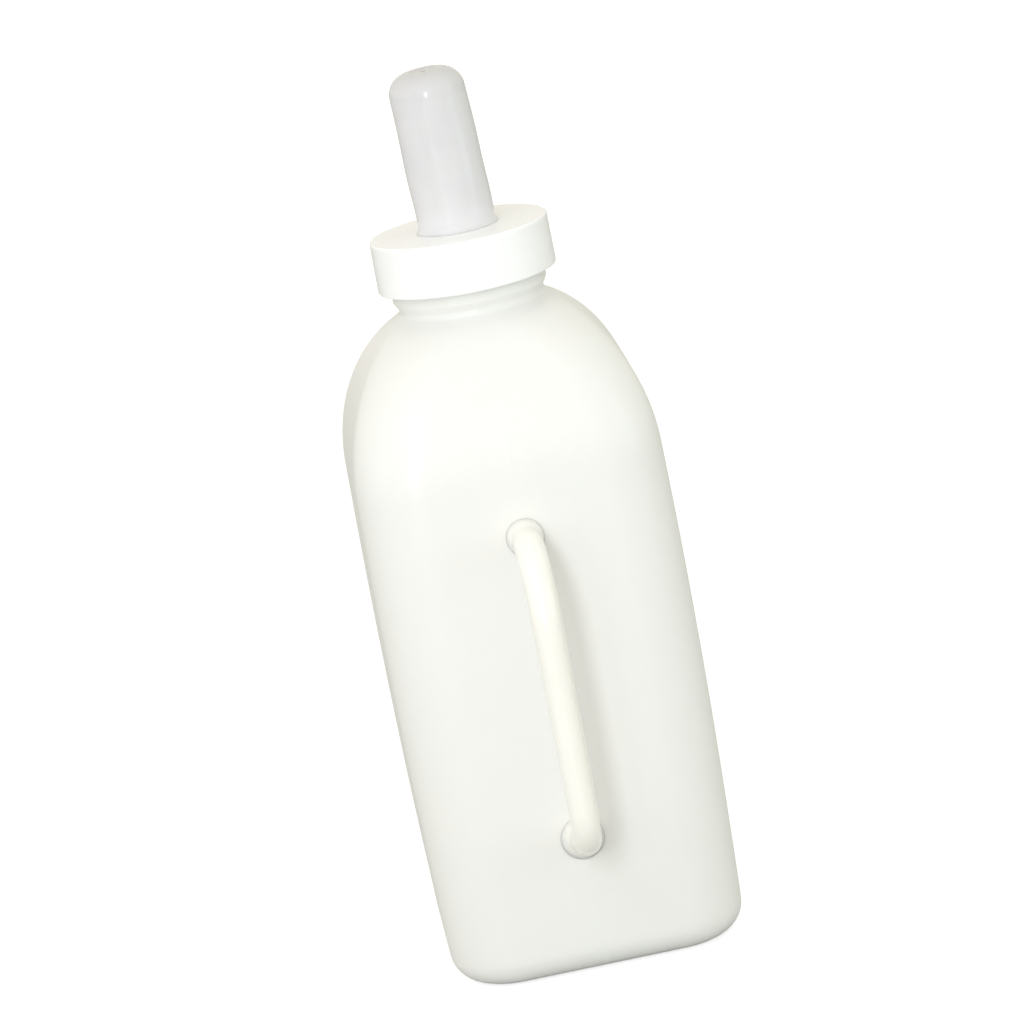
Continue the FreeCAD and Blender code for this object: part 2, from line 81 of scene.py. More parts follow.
# %% Grid helper
def grid_mesh(name, points, first_pole=None, last_pole=None, tube_closed=False):
    """A mesh from a grid of points (rows, columns, 3); each face joins two rows and two columns.

    The last column is joined to the first. tube_closed joins the last row to the first, and a pole is
    a single point that closes the first or the last row with triangles.
    """
    rows, columns = points.shape[:2]
    vertices = points.reshape(-1, 3)
    index = np.arange(rows * columns).reshape(rows, columns)
    below = index if tube_closed else index[:-1]
    above = np.roll(index, -1, axis=0) if tube_closed else index[1:]
    corners = (below, np.roll(below, -1, axis=1), np.roll(above, -1, axis=1), above)
    faces = [tuple(face) for face in np.stack(corners, axis=-1).reshape(-1, 4).tolist()]
    for pole, row, order in ((first_pole, index[0], -1), (last_pole, index[-1], 1)):
        if pole is None:
            continue
        centre = len(vertices)
        vertices = np.vstack([vertices, np.asarray(pole, float)])
        fan = np.stack([row, np.roll(row, -1), np.full(columns, centre)], axis=-1)[:, ::order]
        faces += [tuple(face) for face in fan.tolist()]
    mesh = bpy.data.meshes.new(name)
    mesh.from_pydata(vertices.tolist(), [], faces)
    mesh.validate()
    mesh.shade_smooth()
    piece = bpy.data.objects.new(name, mesh)
    bpy.context.scene.collection.objects.link(piece)
    return piece


def report(piece):
    """Prints how many triangles a piece has, and its size in millimetres."""
    mesh = piece.data
    mesh.calc_loop_triangles()
    places = np.empty(len(mesh.vertices) * 3)
    mesh.vertices.foreach_get("co", places)
    places = places.reshape(-1, 3)
    size = (places.max(0) - places.min(0)) / MM
    print(f"{piece.name}: {len(mesh.loop_triangles)} triangles, {np.round(size, 1)} mm")


# %% [markdown]
# ## The bottle's skin
# The bottle is blown from one soft tube inside a two-part mould. Its section is a square with round
# corners, which closes to a circle at the neck. A box with beveled edges could give such a body, but
# not its swelling sides. Here the skin's distance from the axis has a formula for each direction, so
# the wall is one surface in height and direction. The inside is the same surface drawn in by the wall.

# %% Rounded square
def rounded_square(direction, half, flat):
    """Distance from the axis to a rounded square, for directions in radians.

    The corner circle has its centre at (flat, flat) and the radius half - flat. Where the direction
    passes the straight side, the distance is half / cos; past the side's end it is the far root of the
    circle's equation, flat (cos + sin) + sqrt(radius^2 - flat^2 (cos - sin)^2).
    """
    turned = np.abs((direction + np.pi / 4) % (np.pi / 2) - np.pi / 4)
    cos = np.cos(turned)
    sin = np.sin(turned)
    radius = half - flat
    straight = half / cos
    inside_root = np.maximum(radius**2 - (flat * (cos - sin)) ** 2, 0)
    rounded = flat * (cos + sin) + np.sqrt(inside_root)
    return np.where(half * np.tan(turned) <= flat, straight, rounded)


section = rounded_square(np.radians([0, 45]), MIDDLE_HALF, MIDDLE_HALF - CORNER)
print("side and corner of the section:", np.round(section / MM, 1), "mm from the axis")

# %% [markdown]
# Each row of the skin needs three numbers: its half width, the half length of its straight side, and
# its height. The outside and the inside use one function, because the maker's wall has nearly the
# same thickness everywhere: the inside is drawn with an inset and with a narrower waist.

# %% Side profile
WAIST = 26.9 * MM
NECK = 28.5 * MM
BORE = 25.0 * MM
NECK_RIM = BOTTLE_HIGH.z
EDGE_ROWS = 14
SIDE_ROWS = 44
DOME_ROWS = 42


def swell(height):
    """Half width of the sides: a shallow parabola, widest a little below mid height."""
    return MIDDLE_HALF - (MIDDLE_HALF - BASE_HALF) * (height / MIDDLE_HEIGHT - 1) ** 2


def shell_profile(inset, waist):
    """Rows (half, flat, height) of one skin, from the outer end of its floor to the foot of the neck.

    The base edge is a quarter circle, the side follows the swell, and the dome is a quarter ellipse on
    which the straight stretch between the corners shrinks with the width.
    """
    edge = BASE_EDGE - inset
    flat_side = swell(0) - CORNER
    turn = np.radians(np.linspace(0, 90, EDGE_ROWS))
    start = swell(edge) - inset
    edge_half = start - edge + edge * np.sin(turn)
    edge_height = inset + edge - edge * np.cos(turn)
    edge_rows = np.stack([edge_half, np.full(EDGE_ROWS, flat_side), edge_height], axis=-1)
    height = np.linspace(inset + edge, SHOULDER_HEIGHT, SIDE_ROWS)[1:]
    side_half = swell(height) - inset
    side_flat = side_half + inset - CORNER
    side_rows = np.stack([side_half, side_flat, height], axis=-1)
    top = side_half[-1]
    angle = np.linspace(0, math.acos(waist / top), DOME_ROWS)[1:]
    dome_half = top * np.cos(angle)
    dome_height = SHOULDER_HEIGHT + (DOME_RISE - inset) * np.sin(angle)
    share = (dome_half - waist) / (top - waist)
    dome_rows = np.stack([dome_half, side_flat[-1] * share, dome_height], axis=-1)
    return np.vstack([edge_rows, side_rows, dome_rows])


print("dome meets the neck at", round(shell_profile(0, WAIST)[-1][2] / MM, 1), "mm")

# %% [markdown]
# A profile is easier to read as a few corners, each with its own rounding, than as a long list of
# points. The helper below walks round such corners: it cuts each one back by radius / tan(half the
# angle) and lays an arc there, and fills the straight stretches at a stated spacing.

# %% Rounded profiles
def run(start, end, count):
    """Evenly spaced points from one place to another, without the last."""
    share = np.linspace(0, 1, count, endpoint=False)[:, None]
    return np.asarray(start, float) * (1 - share) + np.asarray(end, float) * share


def rounded_corner(before, corner, after, radius, steps):
    """The arc that touches both lines at a corner, as points from the first line to the second.

    Each point is the mean of the arc's two end rays, weighted by the sines of what is left and what is
    past of the swept angle.
    """
    back = before - corner
    ahead = after - corner
    back = back / np.linalg.norm(back)
    ahead = ahead / np.linalg.norm(ahead)
    half = math.acos(np.clip(back @ ahead, -1, 1)) / 2
    cut = radius / math.tan(half)
    centre = corner + (back + ahead) / np.linalg.norm(back + ahead) * radius / math.sin(half)
    first = corner + back * cut - centre
    last = corner + ahead * cut - centre
    swept = math.pi - 2 * half
    share = np.linspace(0, 1, steps)[:, None]
    rays = np.sin((1 - share) * swept) * first + np.sin(share * swept) * last
    return centre + rays / math.sin(swept)


def rounded_profile(corners, arc_steps=7):
    """Points along a line of corners (across, up, radius, spacing), all in metres.

    Each inner corner is replaced by its arc. The spacing is that of the stretch that leaves the corner.
    """
    places = np.array([corner[:2] for corner in corners], float)
    pieces = []
    leave = places[0]
    for here in range(1, len(corners)):
        spacing = corners[here - 1][3]
        radius = corners[here][2]
        is_last = here == len(corners) - 1
        if is_last or radius == 0:
            bend = places[here:here + 1]
        else:
            bend = rounded_corner(places[here - 1], places[here], places[here + 1], radius, arc_steps)
        count = max(1, int(round(np.linalg.norm(bend[0] - leave) / spacing)))
        pieces += [run(leave, bend[0], count), bend[:-1]]
        leave = bend[-1]
    pieces.append(places[-1:])
    return np.vstack(pieces)


sample = rounded_profile([(0, 0, 0, 1 * MM), (8 * MM, 0, 3 * MM, 1 * MM), (8 * MM, 8 * MM, 0, 1 * MM)])
print("points round a sample corner:", len(sample))

# %% [markdown]
# The screw thread is a ridge that climbs one lead in each turn. A curve with a swept profile could make
# it, but then it would have to be cut into the neck. On the grid it is only a push outwards: at each
# height and direction, the distance to the nearest turn of the helix gives the ridge's height.

# %% Screw thread
LEAD = 5.0 * MM
TURNS = 1.75
RIDGE = 1.7 * MM
RIDGE_CREST = 1.1 * MM
RIDGE_ROOT = 2.5 * MM
RIDGE_FADE = math.radians(14)


def smooth_step(values, low, high):
    """0 below low, 1 above high, and an S-curve 3s^2 - 2s^3 between them."""
    share = np.clip((values - low) / (high - low), 0, 1)
    return share * share * (3 - 2 * share)


def thread_ridge(direction, height, start):
    """Height of the thread's ridge: a trapezium across the helix z = start + lead * angle / turn.

    The ridge is full between its crest's edges, falls in a straight flank to its root's edges, and
    fades out over the last stretch of a turn at each end.
    """
    whole = 2 * np.pi
    length = TURNS * whole
    tallest = np.zeros(np.broadcast(direction, height).shape)
    for turn in range(math.ceil(TURNS) + 1):
        angle = direction % whole + whole * (turn - 1)
        centre = start + RIDGE_ROOT / 2 + LEAD * angle / whole
        away = np.abs(height - centre)
        flank = np.clip((RIDGE_ROOT / 2 - away) / (RIDGE_ROOT - RIDGE_CREST) * 2, 0, 1)
        ends = smooth_step(angle, 0, RIDGE_FADE) * (1 - smooth_step(angle, length - RIDGE_FADE, length))
        tallest = np.maximum(tallest, flank * ends)
    return tallest * RIDGE


print("the thread climbs", LEAD * TURNS / MM, "mm in all")

# %% [markdown]
# The rows of the whole shell follow one closed journey: from the middle of the pushed-up base, over the
# standing rim, up the side and the dome, up the neck, over its rim and down again inside to the middle
# of the floor. Two separate surfaces would need a seam at the rim, and one journey has none.

# %% Base rows
PUSH_UP = 4.0 * MM
ROOF_HALF = 29.0 * MM
RECESS_HALF = 38.0 * MM
RECESS_FLAT = 24.0 * MM
FLOOR_START = 3.0 * MM
UNDER_ROWS = 26
FLOOR_ROWS = 22


def floor_rows(inset, last_half, last_flat, count):
    """Rows of the base: level at the raised roof, then an S-curve down to the standing rim."""
    half = np.linspace(FLOOR_START, last_half, count)
    roof = ROOF_HALF + inset
    mouth = RECESS_HALF + inset
    height = inset + PUSH_UP * (1 - smooth_step(half, roof, mouth))
    inner_flat = RECESS_FLAT * np.minimum(half / roof, 1)
    flat = inner_flat + (last_flat - RECESS_FLAT) * smooth_step(half, mouth, last_half)
    return np.stack([half, flat, height], axis=-1)[:-1]


print("the base is pushed up by", PUSH_UP / MM, "mm")

# %% [markdown]
# The neck is turned, so its rows have no straight side. Between the dome and the neck that side has to
# shrink to nothing without a jump, and the neck's first rows do that while the waist narrows.

# %% Neck and whole journey
WAIST_FOOT = 244.9 * MM
WAIST_TOP = 247.0 * MM
FLAT_END = 246.0 * MM
NECK_FOOT = 249.6 * MM
DOME_MARGIN = 2.6 * MM
BORE_END = 1.5 * MM
ROW_SPACING = 0.6 * MM
THREAD_SPACING = 0.42 * MM
BORE_SPACING = 2.2 * MM


def neck_rows(dome_end, bore_end, top_flat):
    """Rows from the dome up the neck, over its rim and down its bore, and the row of the rim's edge."""
    neck = rounded_profile([
        (dome_end[0], dome_end[2], 0, ROW_SPACING),
        (WAIST, WAIST_FOOT, 2.0 * MM, ROW_SPACING),
        (WAIST, WAIST_TOP, 1.2 * MM, ROW_SPACING),
        (NECK, NECK_FOOT, 1.2 * MM, THREAD_SPACING),
        (NECK, NECK_RIM, 0.5 * MM, ROW_SPACING),
        (BORE, NECK_RIM, 0.5 * MM, BORE_SPACING),
        (BORE, bore_end, 0, ROW_SPACING),
    ])
    rim_row = int(np.argmax(neck[:, 1] > NECK_RIM - 0.01 * MM))
    share = np.clip((neck[:, 0] - WAIST) / (swell(SHOULDER_HEIGHT) - WAIST), 0, 1)
    flat = np.where(neck[:, 1] < FLAT_END, top_flat * share, 0)
    return np.stack([neck[:, 0], flat, neck[:, 1]], axis=-1)[1:], rim_row


def shell_rows():
    """The whole journey of (half, flat, height) rows, and the row at which the outside ends."""
    outer = shell_profile(0, WAIST)
    inner = shell_profile(WALL, BORE)
    under = floor_rows(0, outer[0][0], outer[0][1], UNDER_ROWS)
    floor = floor_rows(WALL, inner[0][0], inner[0][1], FLOOR_ROWS)
    clear_of_neck = outer[:, 0] > WAIST + DOME_MARGIN
    outer = outer[clear_of_neck | (outer[:, 2] < SHOULDER_HEIGHT)]
    top_flat = outer[outer[:, 2] <= SHOULDER_HEIGHT + MM][-1][1]
    neck, rim_row = neck_rows(outer[-1], inner[-1][2] + BORE_END, top_flat)
    rows = np.vstack([under, outer, neck, inner[::-1], floor[::-1]])
    return rows, len(under) + len(outer) + rim_row


print("rows in the shell, and outside:", len(shell_rows()[0]), shell_rows()[1])

# %% [markdown]
# ## What blowing leaves on the skin
# A blown wall is never ideal. Its flat panels sink a little as they cool, slow waves run through it, a
# fine line stands where the two halves of the mould met, and under it, at the base, the pinched end of
# the tube leaves a wider weld. All of these are small pushes in or out, added to the distance from the
# axis. A bump texture would not do, because they have to show in the outline and in the mesh itself.

# %% Moulding marks
DISH = 0.28 * MM
DISH_LOW = 20 * MM
DISH_LENGTH = 185 * MM
DISH_FADE = (4 * MM, 34 * MM)
WAVE = 0.022 * MM
LINE = 0.06 * MM
LINE_WIDTH = 0.28 * MM
LINE_RISE = (4 * MM, 12 * MM)
LINE_FADE = (250 * MM, 253 * MM)
WELD = 0.3 * MM
WELD_WIDTH = 0.9 * MM
WELD_RISE = (0.4 * MM, 2.5 * MM)
WELD_FADE = (4 * MM, 8 * MM)
WELD_INNER = 44 * MM


def panel_dish(across, height):
    """How far the flat sides sink: a squared sine up the panel, fading towards its corners."""
    along = np.sin(np.pi * np.clip((height - DISH_LOW) / DISH_LENGTH, 0, 1)) ** 2
    return DISH * along * (1 - smooth_step(np.abs(across), *DISH_FADE))


def wall_waves(direction, height):
    """Slow waves of the blown wall, a sum of a few sines round and along; never above zero."""
    turns = np.sin(5 * direction + 38 * height) + np.sin(9 * direction - 61 * height + 1.3)
    drift = np.sin(3 * direction + 87 * height + 2.1)
    return WAVE * (turns + 0.7 * drift - 2.7)


def parting_marks(beside, half, height):
    """The parting line and the weld: bell curves exp(-(x / width)^2) beside the mould's plane."""
    line = LINE * smooth_step(height, *LINE_RISE) * (1 - smooth_step(height, *LINE_FADE))
    weld = WELD * smooth_step(height, *WELD_RISE) * (1 - smooth_step(height, *WELD_FADE))
    line_bell = np.exp(-(beside / LINE_WIDTH) ** 2)
    weld_bell = np.exp(-(beside / WELD_WIDTH) ** 2) * (half > WELD_INNER)
    return line_bell * line + weld_bell * weld


print("the panels sink by up to", DISH / MM, "mm")

# %% [markdown]
# ## The bottle
# The columns are spread evenly round the axis, with a few more where the two halves of the mould met,
# because the parting line there is only half a millimetre wide. Behind each foot of the handle the wall
# is much thicker: a boss, which on the real bottle is the material that closed round the foot's lug.

# %% Bottle shell
SHELL_COLUMNS = 276
LINE_SPREAD = np.array([-1.8, -0.9, -0.4, 0.4, 0.9, 1.8]) * 0.5 * MM / MIDDLE_HALF
SIDE_RISE = (9 * MM, 26 * MM)
SIDE_FADE = (205 * MM, 243 * MM)
NECK_THREAD_START = 254.9 * MM
THREAD_CLEARANCE = 2.9 * MM
BOSS_DEPTH = 5.7 * MM
BOSS_FADE = (9.6 * MM, 12.8 * MM)
# Each foot of the handle: its height, how far its wall is from the axis, and its radius.
FEET = [(167.5 * MM, 56.65 * MM, 6.9 * MM), (53.0 * MM, 56.1 * MM, 8.1 * MM)]


def column_directions():
    """Directions round the axis: evenly spread, with extra ones beside both parting lines."""
    spread = np.arange(SHELL_COLUMNS) * 2 * np.pi / SHELL_COLUMNS
    lines = [middle + LINE_SPREAD for middle in (np.pi / 2, 3 * np.pi / 2)]
    return np.sort(np.concatenate([spread, *lines]))


def boss_push(direction, beside, height):
    """How far the inside stands back from the wall behind the feet, falling off with the distance."""
    push = np.zeros_like(height)
    for foot_height, _, _ in FEET:
        away = np.hypot(beside, height - foot_height)
        push = push + (1 - smooth_step(away, *BOSS_FADE)) * (np.sin(direction) < 0)
    return BOSS_DEPTH * push


def make_shell():
    """The rounded square at every row, pushed in and out by all the marks that blowing leaves."""
    rows, outside_end = shell_rows()
    direction = column_directions()[None, :]
    half = rows[:, 0:1]
    height = rows[:, 2:3] + np.zeros_like(direction)
    reach = rounded_square(direction, half, rows[:, 1:2])
    is_outside = (np.arange(len(rows)) < outside_end)[:, None]
    across = reach * np.minimum(np.abs(np.cos(direction)), np.abs(np.sin(direction)))
    on_side = smooth_step(height, *SIDE_RISE) * (1 - smooth_step(height, *SIDE_FADE))
    reach = reach - panel_dish(across, height) * on_side + wall_waves(direction, height) * on_side
    beside = reach * np.cos(direction)
    reach = reach + is_outside * parting_marks(beside, half, height)
    on_neck = is_outside & (height > NECK_THREAD_START - THREAD_CLEARANCE)
    reach = reach + on_neck * thread_ridge(direction, height, NECK_THREAD_START)
    reach = reach - ~is_outside * boss_push(direction, beside, height)
    x = reach * np.cos(direction)
    y = np.clip(reach * np.sin(direction), -BOTTLE_HIGH.y, BOTTLE_HIGH.y)
    points = np.stack([x, y, height], axis=-1)
    under = (0, 0, PUSH_UP)
    floor = (0, 0, PUSH_UP + WALL)
    piece = grid_mesh("bottle_shell", points, first_pole=under, last_pole=floor)
    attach(piece, "bottle")
    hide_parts("bottle_body")
    report(piece)
    return piece


shell = make_shell()

# %% [markdown]
# ## The handle
# The bow handle is moulded first and laid in the bottle's mould, so the wall closes round its feet. Its
# line is a level upper arm, an upright bar and a sloping lower arm, with two tangent bends. A curve
# with a round bevel would give the rod, but not its feet, so the skin is one tube worked out round that
# line, with a radius that changes along it.

# %% Handle line
ROD = 5.5 * MM
ROD_TAPER = 0.42 * MM
ARM_SLOPE = math.radians(14)
BAR_REACH = -HANDLE_LOW.y - ROD
UPPER_BEND = 25 * MM
LOWER_BEND = 15 * MM
FOOT_BEND = 2 * MM
LUG_DEPTH = 5.4 * MM
ROD_SPACING = 0.8 * MM
BEND_STEPS = 24


def handle_line():
    """Points (out, up) of the rod's middle, from the upper lug's end to the lower lug's end."""
    (high, high_face, _), (low, low_face, _) = FEET
    rise = (BAR_REACH - low_face) * math.tan(ARM_SLOPE)
    corners = [
        (high_face - LUG_DEPTH, high, 0, ROD_SPACING),
        (BAR_REACH, high, UPPER_BEND, ROD_SPACING),
        (BAR_REACH, low + rise, LOWER_BEND, ROD_SPACING),
        (low_face, low, FOOT_BEND, ROD_SPACING),
        (low_face - LUG_DEPTH, low, 0, ROD_SPACING),
    ]
    return rounded_profile(corners, arc_steps=BEND_STEPS)


print("the bar's middle is", round(BAR_REACH / MM, 1), "mm from the axis")

# %% [markdown]
# The radius swells at both ends to the foot's flange. The flare is a power curve, steep at the wall and
# nearly flat at the rod, and it runs on under the wall's skin, so that no step shows at the edge.

# %% Handle feet
FLANGE_FLOOR = -1.0 * MM
FLARE = 10.0 * MM
FLARE_POWER = 5
LUG_NECK = 6.2 * MM
LUG_SWELL = 1.6 * MM


def foot_profile(distance, foot, rod):
    """Radius near a foot, by the distance out from the wall: lug, then flare, then the plain rod.

    The lug widens evenly towards its end. The flare adds (foot - rod) (1 - distance / length)^5.
    """
    lug = LUG_NECK + LUG_SWELL * (FLANGE_FLOOR - distance) / (LUG_DEPTH + FLANGE_FLOOR)
    left = np.maximum(1 - distance / FLARE, 0)
    flare = rod + (foot - rod) * left**FLARE_POWER
    return np.where(distance < FLANGE_FLOOR, lug, flare)


print("foot radius at the wall:", foot_profile(np.zeros(1), FEET[0][2], ROD) / MM, "mm")

# %% [markdown]
# Each section of the tube is square to the line, but near a foot it turns until it is square to the
# wall, so that the foot sits flat on the bottle. A fine flash line runs along both sides of the rod,
# where the two halves of its own mould met.

# %% Handle tube
ROD_COLUMNS = 56
TAPER_RUN = (0.25, 0.95)
TURN_TO_WALL = (1 * MM, 9 * MM)
FLASH = 0.07 * MM
FLASH_WIDTH = 0.09
FLASH_START = 2 * MM


def make_handle():
    """A tube round the handle's line: middle + outward * radius * cos + sideways * radius * sin."""
    line = handle_line()
    ahead = np.gradient(line, axis=0)
    ahead /= np.linalg.norm(ahead, axis=1)[:, None]
    length = np.concatenate([[0], np.cumsum(np.linalg.norm(np.diff(line, axis=0), axis=1))])
    share = length / length[-1]
    rod = ROD - ROD_TAPER * smooth_step(share, *TAPER_RUN)
    (_, high_face, high_foot), (_, low_face, low_foot) = FEET
    first_half = share < 0.5
    distance = line[:, 0] - np.where(first_half, high_face, low_face)
    radius = foot_profile(distance, np.where(first_half, high_foot, low_foot), rod)
    wall_normal = np.where(first_half[:, None], np.array([1.0, 0.0]), np.array([-1.0, 0.0]))
    near = (1 - smooth_step(distance, *TURN_TO_WALL))[:, None]
    normal = ahead * (1 - near) + wall_normal * near
    normal /= np.linalg.norm(normal, axis=1)[:, None]
    outward = np.stack([normal[:, 1], -normal[:, 0]], axis=-1)
    angle = np.linspace(0, 2 * np.pi, ROD_COLUMNS, endpoint=False)[None, :]
    flash = np.exp(-(np.sin(angle) / FLASH_WIDTH) ** 2) - 1
    ring = radius[:, None] + FLASH * flash * (distance[:, None] > FLASH_START)
    out = line[:, 0:1] + outward[:, 0:1] * ring * np.cos(angle)
    up = line[:, 1:2] + outward[:, 1:2] * ring * np.cos(angle)
    side = ring * np.sin(angle)
    points = np.stack([side, -out, up], axis=-1)
    high_pole = (0, -line[0, 0], line[0, 1])
    low_pole = (0, -line[-1, 0], line[-1, 1])
    piece = grid_mesh("handle_bow", points, first_pole=high_pole, last_pole=low_pole)
    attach(piece, "bottle")
    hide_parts("handle")
    report(piece)
    return piece


handle = make_handle()

# %% [markdown]
# ## The screw ring
# The ring is injection-moulded, so its edges are crisp and small. The outside is a turned profile, and
# the thread inside is the same helix as the neck's, set half a lead away so that the two ridges pass.
# The Screw modifier could turn the profile, but the thread and the draft need each point's direction.

# %% Screw ring
RING_RADIUS = RING_HIGH.x
RING_BORE = 30.8 * MM
RING_HOLE = 14.8 * MM
PLATE = 2.0 * MM
RING_COLUMNS = 216
RING_THREAD_START = NECK_THREAD_START + LEAD / 2
RING_DRAFT = 0.18 * MM
RING_SHARP = 40
THREAD_END = 0.42 * MM


def sharpen(piece, degrees):
    """Marks the edges that turn by more than an angle as sharp, so that the rest shade smooth."""
    piece.data.set_sharp_from_angle(angle=math.radians(degrees))


def turned_grid(profile, columns):
    """A profile (across, up) carried round the axis: the directions, and across and up on the grid."""
    direction = np.linspace(0, 2 * np.pi, columns, endpoint=False)[None, :]
    across = profile[:, 0:1] + np.zeros_like(direction)
    height = profile[:, 1:2] + np.zeros_like(direction)
    return direction, across, height


def make_ring():
    """The turned profile, with the thread pushed into its bore and its outside drawn in by the draft."""
    low = RING_LOW.z
    high = RING_HIGH.z
    under = high - PLATE
    direction, across, height = turned_grid(rounded_profile([
        (RING_BORE, under, 0, 1.2 * MM),
        (RING_HOLE, under, 0.15 * MM, 0.5 * MM),
        (RING_HOLE, high, 0.35 * MM, 1.0 * MM),
        (RING_RADIUS, high, 0.9 * MM, 0.9 * MM),
        (RING_RADIUS, low, 0.7 * MM, 0.5 * MM),
        (RING_BORE, low, 0.4 * MM, THREAD_SPACING),
        (RING_BORE, under - THREAD_END, 0, THREAD_SPACING),
    ]), RING_COLUMNS)
    in_bore = np.abs(across - RING_BORE) < 0.05 * MM
    in_bore &= (height < under - 0.2 * MM) & (height > low + 0.5 * MM)
    across = across - in_bore * thread_ridge(direction, height, RING_THREAD_START)
    draft = RING_DRAFT * (height - low) / (high - low)
    on_outside = across > RING_RADIUS - 0.5 * MM
    across = across - on_outside * draft
    points = np.stack([across * np.cos(direction), across * np.sin(direction), height], axis=-1)
    piece = grid_mesh("ring_cap", points[::-1], tube_closed=True)
    sharpen(piece, RING_SHARP)
    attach(piece, "ring")
    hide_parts("screw_ring")
    report(piece)
    return piece


ring = make_ring()

# %% [markdown]
# ## The teat
# The teat is a soft hollow finger of silicone. Its flange lies on the neck's rim under the ring's plate
# and a small bead above the plate keeps it there. It is turned like the ring, as one closed outline
# through the milk hole, so that the wall's thickness can be seen in the hole.

# %% Teat outline
TEAT_BASE = 14.25 * MM
TEAT_END = 13.95 * MM
TEAT_WALL = 2.2 * MM
TEAT_EDGE = 8.0 * MM
TEAT_ROOF = 3.2 * MM
TEAT_SINK = 0.4 * MM
FLANGE = 27.6 * MM
FLANGE_GAP = 0.3 * MM
GROOVE = 14.45 * MM
BEAD = 15.4 * MM
BEAD_RISE = 1.7 * MM
BEAD_GAP = 0.01 * MM
MILK_HOLE = 1.3 * MM
DIMPLE = 5.8 * MM
DIMPLE_DEPTH = 0.5 * MM
DIMPLE_SLOPE = 1.2 * MM
TEAT_ARC_STEPS = 12


def teat_profile():
    """The closed outline of half a section: up the outside, through the milk hole, down the inside."""
    top = TEAT_HIGH.z - TEAT_SINK
    roof = top - TEAT_ROOF
    rim = TEAT_LOW.z
    flange_top = RING_HIGH.z - PLATE - FLANGE_GAP
    bead = RING_HIGH.z + BEAD_GAP
    inner = TEAT_BASE - TEAT_WALL
    return rounded_profile([
        (inner, rim, 0, 1.2 * MM),
        (FLANGE, rim, 0.5 * MM, 0.8 * MM),
        (FLANGE, flange_top, 0.5 * MM, 1.2 * MM),
        (GROOVE, flange_top, 0.4 * MM, 0.6 * MM),
        (GROOVE, bead, 0.1 * MM, 0.3 * MM),
        (BEAD, bead, 0.08 * MM, 0.3 * MM),
        (TEAT_BASE, bead + BEAD_RISE, 1.6 * MM, 1.1 * MM),
        (TEAT_END, top, TEAT_EDGE, 0.3 * MM),
        (DIMPLE, top, 0.8 * MM, 0.4 * MM),
        (DIMPLE - DIMPLE_SLOPE, top - DIMPLE_DEPTH, 0.8 * MM, 0.5 * MM),
        (MILK_HOLE, top - DIMPLE_DEPTH, 0.25 * MM, 0.5 * MM),
        (MILK_HOLE, roof, 0.3 * MM, 0.9 * MM),
        (TEAT_END - TEAT_WALL, roof, TEAT_EDGE - TEAT_WALL, 1.4 * MM),
        (inner, bead, 1.0 * MM, 1.2 * MM),
        (inner, rim + 1.2 * MM, 0, 1.2 * MM),
    ], arc_steps=TEAT_ARC_STEPS)


print("points in the teat's outline:", len(teat_profile()))

# %% [markdown]
# Soft rubber is never quite straight, so the finger leans by two degrees from its bead up, and its wall
# is faintly uneven. Both fade in above the bead, because the ring holds the foot round and upright.

# %% Teat
TEAT_COLUMNS = 144
LEAN = math.radians(2.0)
LEAN_RUN = 20 * MM
FREE_START = RING_HIGH.z + 3 * MM
FREE_RUN = 12 * MM
RIPPLE = 0.15 * MM
TEAT_SHARP = 50


def make_teat():
    """The turned outline, rippled by two sines round it, then leant: x - above * sin, z + x * sin."""
    direction, across, height = turned_grid(teat_profile(), TEAT_COLUMNS)
    ripple = np.sin(2 * direction + 70 * height) + 0.6 * np.sin(3 * direction - 160 * height + 1.1)
    across = across + RIPPLE * ripple * smooth_step(height, FREE_START, FREE_START + FREE_RUN)
    x = across * np.cos(direction)
    y = across * np.sin(direction)
    above = np.maximum(height - FREE_START, 0)
    lean = math.sin(LEAN) * smooth_step(above, 0, LEAN_RUN)
    points = np.stack([x - above * lean, y, height + x * lean], axis=-1)
    piece = grid_mesh("teat_finger", points, tube_closed=True)
    sharpen(piece, TEAT_SHARP)
    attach(piece, "teat")
    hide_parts("teat")
    report(piece)
    return piece


teat = make_teat()

# %% [markdown]
# ## Finishes
# All four pieces are moulded polymer, so they share one habit: the colour and the gloss drift a little
# from place to place and the skin has a very fine unevenness. That habit is one node group, built once,
# and each finish gives it its own scale and strength. It reads object coordinates, so the pattern stays
# on the piece when the ring turns.

# %% Moulded skin group
def link(tree, source, target):
    """A wire from one socket to another."""
    tree.links.new(source, target)


def node(tree, kind, **settings):
    """A new node of a kind, with its attributes set by name."""
    made = tree.nodes.new(kind)
    for name, setting in settings.items():
        setattr(made, name, setting)
    return made


def skin_sockets(group):
    """The group's named inputs, with plain defaults, and its three outputs."""
    wanted = [
        ("Base", "NodeSocketColor", (0.9, 0.9, 0.88, 1)),
        ("Drift", "NodeSocketColor", (0.85, 0.86, 0.8, 1)),
        ("Drift Scale", "NodeSocketFloat", 14.0),
        ("Fine Scale", "NodeSocketFloat", 900.0),
        ("Gloss Low", "NodeSocketFloat", 0.3),
        ("Gloss High", "NodeSocketFloat", 0.4),
    ]
    for name, kind, default in wanted:
        group.interface.new_socket(name=name, in_out="INPUT", socket_type=kind).default_value = default
    for name, kind in (("Color", "Color"), ("Roughness", "Float"), ("Height", "Float")):
        group.interface.new_socket(name=name, in_out="OUTPUT", socket_type="NodeSocket" + kind)


